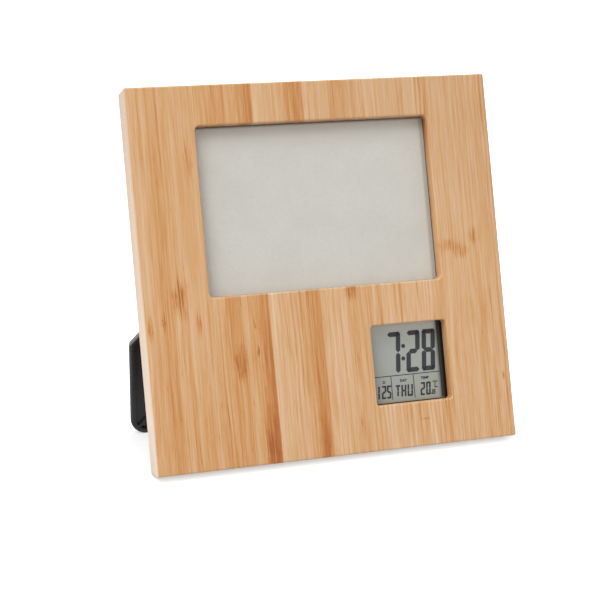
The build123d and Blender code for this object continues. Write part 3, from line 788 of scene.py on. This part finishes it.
def display_finish(look):
    """Matte display glass over a grey reflector, darker towards its foot, with painted light that makes it
    paler at its top.
    """
    f = Finish("display_ground")
    x, _, z = f.split(f.spot)
    frost = f.cloud(6.0, 2.0)
    low = f.step(z, CLOCK_FOOT - 2.0, CLOCK_TOP + 2.75, 0.7, 0.0)
    share = f.reckon("ADD", low, f.swing(frost, 0.0, 0.2))
    ground = f.mix(share, look.ground, look.ground_dim)
    # Painted light at the display's top, against the recess's shade.
    high = f.step(z, CLOCK_TOP - 9.75, CLOCK_TOP + 0.25)
    ground = f.mix(high, ground, look.ground_painted_light)
    border = f.step(x, VIEW_RIGHT - 2.0, VIEW_RIGHT + 1.4)
    f.set(Base_Color=f.mix(border, ground, look.border))
    f.sheen(frost, 0.3, 0.42, 0.4)
    f.bump(frost, 0.05, 0.00002)
    return f.material


def ink_finish(name, tone, roughness):
    """A printed or lit mark with slight unevenness."""
    f = Finish(name)
    uneven = f.cloud(1.2)
    f.set(Base_Color=f.mix(f.step(uneven, 0.35, 0.65), tone, shade(tone, 1.08, 0.012)))
    f.sheen(uneven, roughness - 0.05, roughness + 0.08, 0.3)
    return f.material


def circuit_finish(look):
    """Green lacquered board with lighter copper runs."""
    f = Finish("circuit_green")
    bend = f.cloud((0.1, 0.0, 0.16), 0.0)
    lanes = f.reckon("PINGPONG", f.reckon("MULTIPLY_ADD", bend, 14.0, f.split(f.spot)[0]), 0.9)
    runs = f.step(lanes, 0.42, 0.55, 0.0, 0.9)
    f.set(Base_Color=f.mix(runs, look.mask, look.trace))
    f.set(Roughness=f.step(runs, 0.0, 0.9, 0.3, 0.42), Specular_IOR_Level=0.5)
    f.bump(runs, 0.2, 0.00004)
    return f.material


def floor_finish(look):
    """A pale sheet that looks white in the picture and in reflections but keeps the shadow round the feet."""
    f = Finish("floor")
    spot = f.lay("ShaderNodeTexCoord").outputs["Object"]
    x, y, _ = f.split(spot)
    half, front = resting_line("bamboo_frame")
    rear = resting_line("stand")[1]
    aside = f.reckon("SUBTRACT", f.reckon("ABSOLUTE", x), half)
    along = f.reckon("ABSOLUTE", f.reckon("SUBTRACT", y, (front + rear) / 2))
    ahead = f.reckon("SUBTRACT", along, (rear - front) / 2)
    near = f.distance(f.join(f.reckon("MAXIMUM", aside, 0.0), f.reckon("MAXIMUM", ahead, 0.0)))
    away = f.step(near, 0.0, look.hem)

    sheet = f.mix(f.cloud(1.0, 2.0, at=spot), look.sheet, shade(look.sheet, 0.995))
    sheet = f.mix(away, look.under, sheet)
    straight = f.lay("ShaderNodeLightPath").outputs["Is Camera Ray"]
    f.set(Base_Color=f.mix(straight, look.floor, sheet), Roughness=1.0, Specular_IOR_Level=0.0)
    cool, white = (0.95, 0.99, 1.0, 1.0), (0.98, 1.0, 1.0, 1.0)
    glow = f.step(near, 0.0, look.hem, look.hem_glow, 1.0)
    f.set(Emission_Color=f.mix(away, cool, white), Emission_Strength=f.product(f.seen(), glow))
    return f.material


def plain_stroke(x, z, run, turn, width, taper=0.0):
    """A stroke without mitres: middle across, middle up, length, angle, width and how far its ends taper."""
    return (x, z, run, turn, width, 0, 0, 0, taper, 0.0)


def rule(ends, stroke):
    """A straight ruled line between two places as one stroke."""
    x0, z0, x1, z1 = (v * MM for v in ends)
    run, angle = math.hypot(x1 - x0, z1 - z0), math.atan2(z1 - z0, x1 - x0)
    return plain_stroke((x0 + x1) / 2, (z0 + z1) / 2, run, angle, stroke)


def glyph(sign, cell, stroke, gap, slant, taper):
    """Strokes of one sign in a cell: as plain ones, but with an outer flank, mitred corners and a swell."""
    left, base, width, height = cell
    near, far = stroke / 2, width - stroke / 2
    low, mid, top = stroke / 2, height / 2, height - stroke / 2
    ends = {
        "a": ((near, top), (far, top)), "b": ((far, top), (far, mid)), "c": ((far, mid), (far, low)),
        "d": ((near, low), (far, low)), "e": ((near, mid), (near, low)), "f": ((near, top), (near, mid)),
        "g": ((near, mid), (far, mid)), "i": ((width / 2, top), (width / 2, mid)),
        "j": ((width / 2, mid), (width / 2, low)),
    }
    lit, strokes = SIGNS[sign], []
    for part in lit:
        flank, before, after = MITRES.get(part, (0, "-", "-"))
        first, last = (Vector((left + x + slant * z, base + z)) for x, z in ends[part])
        along = (last - first).normalized()
        if before.isalpha() and before not in lit:
            first -= along * stroke * FREE_END
        if after.isalpha() and after not in lit:
            last += along * stroke * FREE_END
        middle, run = (first + last) / 2, (last - first).length - gap
        cut = (flank, int(before in lit), int(after in lit))
        strokes.append((*middle, run, math.atan2(along.y, along.x), stroke, *cut, taper, SWELL))
    for bar, end, stem in (("a", 0, "f"), ("a", 1, "b"), ("d", 0, "e"), ("d", 1, "c")):
        if bar in lit and stem in lit:
            x, z = ends[bar][end]
            strokes.append(plain_stroke(left + x + slant * z, base + z, stroke, 0.0, stroke, 0.3))
    return strokes


def readout(look):
    """All strokes of the readout: the time, the ruled lines, the date, the day and the temperature."""
    lean, strokes = look.slant, []
    for sign, left in TIME_ROW:
        cell = (left * MM, look.time_base, look.time_width, look.time_height)
        strokes += glyph(sign, cell, look.time_stroke, 0.2 * MM, lean, 0.44)
    tall, wide = (v * MM for v in COLON_DOT)
    for rise in COLON_RISES:
        across = (COLON_FOOT + lean * rise) * MM
        strokes.append(plain_stroke(across, look.time_base + rise * MM, tall, lean, wide, 0.3))
    strokes += [rule(ends, look.rule_stroke) for ends in RULES]
    for sign, *box in LOWER_ROW:
        thick = look.small_stroke * (0.55 if box[3] <= THIN_SIGN else 1.0)
        strokes += glyph(sign, [v * MM for v in box], thick, 0.05 * MM, lean, 0.2)
    tall, wide = (v * MM for v in SMALL_DOT)
    strokes += [plain_stroke(x * MM, z * MM, tall, lean, wide, 0.2) for x, z in SMALL_DOTS]
    return strokes


def stroke_tree():
    """Geometry nodes that set a six-sided bar on every point, sized and turned by the point's attributes."""
    tree = bpy.data.node_groups.new("readout_strokes", "GeometryNodeTree")
    for name, kind in (("Geometry", "Geometry"), ("Lift", "Float"), ("Ink", "Material")):
        tree.interface.new_socket(name, in_out="INPUT", socket_type=f"NodeSocket{kind}")
    tree.interface.new_socket("Geometry", in_out="OUTPUT", socket_type="NodeSocketGeometry")
    w = Wiring(tree)

    def attribute(name):
        return w.give("GeometryNodeInputNamedAttribute", {"Name": name}, data_type="FLOAT")

    given = w.lay("NodeGroupInput").outputs
    bar = w.give("GeometryNodeMeshCircle", {"Vertices": 6, "Radius": 1.0}, fill_type="NGON")
    x, y, _ = w.split(w.give("GeometryNodeInputPosition"))
    end, flank = w.reckon("SIGN", x), w.reckon("ROUND", y)
    for name, value in (("end", end), ("flank", flank)):
        bar = w.give(
            "GeometryNodeStoreNamedAttribute", {"Geometry": bar, "Name": name, "Value": value},
            data_type="FLOAT", domain="POINT",
        )
    corner = w.join(w.product(end, 0.5), w.product(flank, 0.5))
    bar = w.give("GeometryNodeSetPosition", {"Geometry": bar, "Position": corner})
    bar = w.give("GeometryNodeTransform", {"Geometry": bar, "Rotation": (math.pi / 2, 0.0, 0.0)})

    turn, wide = attribute("turn"), attribute("stroke")
    many = w.give("GeometryNodeInstanceOnPoints", {
        "Points": given["Geometry"], "Instance": bar, "Rotation": w.join(y=w.product(turn, -1.0)),
        "Scale": w.join(attribute("run"), 1.0, wide),
    })
    real = w.give("GeometryNodeRealizeInstances", {"Geometry": many})

    side, tip, taper = attribute("flank"), attribute("end"), attribute("taper")
    last = w.reckon("GREATER_THAN", tip, 0.0)
    at_end = w.product(last, attribute("end_corner"))
    at_start = w.product(w.reckon("SUBTRACT", 1.0, last), attribute("start_corner"))
    outer = w.reckon("GREATER_THAN", w.product(side, attribute("outer")), 0.5)
    swell = w.reckon("ADD", attribute("swell"), taper)
    way = w.reckon("SUBTRACT", w.product(w.reckon("ADD", at_end, at_start), outer, swell), taper)
    inward = w.product(way, w.product(w.reckon("ABSOLUTE", side), tip, wide))
    pull = w.join(w.product(inward, w.reckon("COSINE", turn)), 0.0, w.product(inward, w.reckon("SINE", turn)))
    shaped = w.give("GeometryNodeSetPosition", {"Geometry": real, "Offset": pull})
    raised = w.give("GeometryNodeExtrudeMesh", {
        "Mesh": shaped, "Offset": w.join(y=-1.0), "Offset Scale": given["Lift"], "Individual": False,
    })
    under = w.give("GeometryNodeFlipFaces", {"Mesh": shaped})
    both = w.lay("GeometryNodeJoinGeometry")
    for half in (raised, under):
        w.feed(both.inputs[0], half)
    closed = w.give("GeometryNodeMergeByDistance", {"Geometry": both.outputs[0], "Distance": 1e-6})
    inked = w.give("GeometryNodeSetMaterial", {"Geometry": closed, "Material": given["Ink"]})
    w.lay("NodeGroupOutput", {"Geometry": inked})
    return tree


def strokes_mesh(strokes, look, finish):
    """The strokes as one plain mesh in the face's own axes."""
    dots = bpy.data.meshes.new("stroke_points")
    dots.from_pydata([(s[0], 0.0, s[1]) for s in strokes], [], [])
    columns = ("run", "turn", "stroke", "outer", "start_corner", "end_corner", "taper", "swell")
    for place, name in enumerate(columns, start=2):
        values = dots.attributes.new(name, "FLOAT", "POINT").data
        for value, stroke in zip(values, strokes):
            value.value = stroke[place]
    holder = bpy.data.objects.new("stroke_points", dots)
    modifier = holder.modifiers.new("strokes", "NODES")
    modifier.node_group = stroke_tree()
    for name, value in (("Lift", look.lift), ("Ink", finish)):
        modifier[modifier.node_group.interface.items_tree[name].identifier] = value
    mesh = evaluated_mesh(holder)
    bpy.data.meshes.remove(dots)
    if len(mesh.polygons) < len(strokes) * BAR_FACES:
        raise RuntimeError("the readout's strokes were not made")
    return mesh


class FRAMECLOCK_OT_board(Operator):
    """Finish the bamboo board"""

    bl_idname = "frameclock.board"
    bl_label = "Bamboo board"

    def execute(self, context):
        dress(bamboo_finish(context.scene.frame_clock.bamboo), "bamboo_frame")
        return {"FINISHED"}


class FRAMECLOCK_OT_photo_stack(Operator):
    """Finish the pane, the grey card, the soft board and the hardboard back"""

    bl_idname = "frameclock.photo_stack"
    bl_label = "Photo stack"

    def execute(self, context):
        look = context.scene.frame_clock.paper
        dress(pane_finish(look), "photo_pane")
        dress(card_finish(look), "grey_card")
        dress(pulp_finish(look), "spacer_pad")
        dress(backing_finish(look), "back_board")
        return {"FINISHED"}


class FRAMECLOCK_OT_readout(Operator):
    """Finish the display glass and set the readout's strokes and small words on it"""

    bl_idname = "frameclock.readout"
    bl_label = "Readout"

    def execute(self, context):
        look = context.scene.frame_clock.display
        dress(display_finish(look), "display_glass")
        ink = ink_finish("readout_ink", look.stroke, 0.42)
        plane = look.plane - GLASS_GAP * MM
        mesh = strokes_mesh(readout(look), look, ink)
        mesh.transform(FACE @ Matrix.Translation((0.0, plane, 0.0)))
        mesh.name = "readout_strokes"
        keep("readout_strokes", mesh, "frame")
        words = []
        for text, x, z in SMALL_WORDS:
            place = FACE @ Matrix.Translation((x * MM, plane, z * MM))
            words.append(lettering(text, WORD_HEIGHT * MM, look.lift, place, ink, WORD_WEIGHT * MM))
        keep("readout_words", joined("readout_words", words), "frame")
        return {"FINISHED"}


class FRAMECLOCK_OT_mouldings(Operator):
    """Finish the stand, the clock's case and covers and the press buttons"""

    bl_idname = "frameclock.mouldings"
    bl_label = "Mouldings"

    def execute(self, context):
        look = context.scene.frame_clock.plastic
        dress(stand_finish(look), "stand")
        dress(moulded_finish("black_plastic", look.black, look.grain, 0.4, 0.4),
              "rear_cover", "battery_cover")
        dress(case_finish(look), "clock_case")
        dress(moulded_finish("button_plastic", look.button, look.grain, 0.4),
              "mode_button", "set_button", "up_button", "down_button")
        return {"FINISHED"}


class FRAMECLOCK_OT_labels(Operator):
    """Print plain words beside the press buttons and the battery cover"""

    bl_idname = "frameclock.labels"
    bl_label = "Back labels"

    def execute(self, context):
        look = context.scene.frame_clock.plastic
        ink = ink_finish("label_ink", look.label, 0.6)
        words = []
        for text, x, z, height in BACK_WORDS:
            place = FACE @ Matrix.Translation((x * MM, BOARD_DEPTH * MM, z * MM)) @ FROM_BEHIND
            words.append(lettering(text, height * MM, LABEL_INK * MM, place, ink))
        keep("back_labels", joined("back_labels", words), "frame")
        return {"FINISHED"}


class FRAMECLOCK_OT_metalwork(Operator):
    """Finish the screws, hinges, turn buttons and battery contacts"""

    bl_idname = "frameclock.metalwork"
    bl_label = "Metalwork"

    def execute(self, context):
        look = context.scene.frame_clock.metal
        dress(plated_finish("zinc_steel", look.zinc, 0.3),
              "turn_button_screws", "case_screws", "ear_screws", "hinge_screws", "hinge_leaf_left",
              "hinge_leaf_right", "hinge_pin_left", "hinge_pin_right", "push_switches",
              *(f"turn_button_{number}" for number in range(1, 5)))
        dress(plated_finish("nickel_plate", look.nickel, 0.16),
              "coin_cell", "contact_minus", "contact_plus", "quartz_crystal")
        dress(plated_finish("brass_disc", look.brass, 0.28), "alarm_buzzer")
        return {"FINISHED"}


class FRAMECLOCK_OT_electronics(Operator):
    """Finish the circuit board, its resin drop, the sensor and the contact strips"""

    bl_idname = "frameclock.electronics"
    bl_label = "Electronics"

    def execute(self, context):
        look = context.scene.frame_clock.metal
        dress(circuit_finish(look), "circuit_board")
        dress(moulded_finish("black_resin", look.resin, 0.0012, 0.22), "clock_chip", "temperature_sensor")
        dress(moulded_finish("contact_rubber", look.rubber, 0.0008, 0.7), "connector_strips")
        return {"FINISHED"}


class FRAMECLOCK_OT_stage(Operator):
    """Set the floor, the soft lamps and the camera"""

    bl_idname = "frameclock.stage"
    bl_label = "Stage"

    def execute(self, context):
        scene = context.scene
        look = scene.frame_clock.stage
        self.floor(scene, look)
        self.sky(scene, look)
        for name, place, size in LAMPS:
            self.lamp(scene, name, place, size, getattr(look, name))
        self.camera(scene, look)
        scene.view_settings.view_transform = "Standard"
        return {"FINISHED"}

    @staticmethod
    def floor(scene, look):
        """A wide sheet under the object."""
        corners = ((-1, -1), (1, -1), (1, 1), (-1, 1))
        mesh = bpy.data.meshes.new("floor")
        mesh.from_pydata([(x * HALF_FLOOR, y * HALF_FLOOR, 0.0) for x, y in corners], [], [(0, 1, 2, 3)])
        mesh.materials.append(floor_finish(look))
        sheet = bpy.data.objects.new("floor", mesh)
        scene.collection.objects.link(sheet)

    @staticmethod
    def sky(scene, look):
        """Even light from all round that the camera and reflections see as white."""
        world = bpy.data.worlds.new("studio")
        world.use_nodes = True
        scene.world = world
        w = Wiring(world.node_tree)
        w.tree.nodes.clear()
        soft, white = (
            w.give("ShaderNodeBackground", {"Color": grey(1.0), "Strength": strength})
            for strength in (look.sky, 1.0)
        )
        either = w.give("ShaderNodeMixShader", {0: w.seen(), 1: soft, 2: white})
        w.lay("ShaderNodeOutputWorld", {"Surface": either})

    @staticmethod
    def lamp(scene, name, place, size, power):
        """A square soft lamp turned to the object."""
        light = bpy.data.lights.new(name, "AREA")
        light.shape, light.size, light.energy = "SQUARE", size, power
        holder = bpy.data.objects.new(name, light)
        holder.location = place
        holder.rotation_euler = (LAMP_AIM - Vector(place)).to_track_quat("-Z", "Y").to_euler()
        scene.collection.objects.link(holder)

    @staticmethod
    def camera(scene, look):
        """The camera at the photo's place."""
        camera = bpy.data.cameras.new("camera")
        camera.lens, camera.sensor_width = look.lens, 36.0
        camera.clip_start, camera.clip_end = 0.01, 50.0
        holder = bpy.data.objects.new("camera", camera)
        holder.location, holder.rotation_euler = look.eye, look.turn
        scene.collection.objects.link(holder)
        scene.camera = holder


OPERATORS = (
    FRAMECLOCK_OT_board, FRAMECLOCK_OT_photo_stack, FRAMECLOCK_OT_readout, FRAMECLOCK_OT_mouldings,
    FRAMECLOCK_OT_labels, FRAMECLOCK_OT_metalwork, FRAMECLOCK_OT_electronics, FRAMECLOCK_OT_stage,
)


class FRAMECLOCK_PT_sidebar(Panel):
    """The frame clock's steps"""

    bl_idname = "FRAMECLOCK_PT_sidebar"
    bl_label = "Frame Clock"
    bl_space_type = "VIEW_3D"
    bl_region_type = "UI"
    bl_category = "Frame Clock"

    def draw(self, context):
        for operator in OPERATORS:
            self.layout.operator(operator.bl_idname)


CLASSES = (
    FrameClockBamboo, FrameClockPaper, FrameClockDisplay, FrameClockPlastic, FrameClockMetal, FrameClockStage,
    FrameClockSettings, *OPERATORS, FRAMECLOCK_PT_sidebar,
)


def register():
    """Register the settings, the operators and the panel."""
    for item in CLASSES:
        bpy.utils.register_class(item)
    bpy.types.Scene.frame_clock = PointerProperty(type=FrameClockSettings)


def unregister():
    """Take them away again."""
    del bpy.types.Scene.frame_clock
    for item in reversed(CLASSES):
        bpy.utils.unregister_class(item)


def main():
    """Dress the clock piece by piece and set the stage."""
    register()
    bpy.ops.frameclock.board()
    bpy.ops.frameclock.photo_stack()
    bpy.ops.frameclock.readout()
    bpy.ops.frameclock.mouldings()
    bpy.ops.frameclock.labels()
    bpy.ops.frameclock.metalwork()
    bpy.ops.frameclock.electronics()
    bpy.ops.frameclock.stage()


if __name__ == "__main__":
    main()
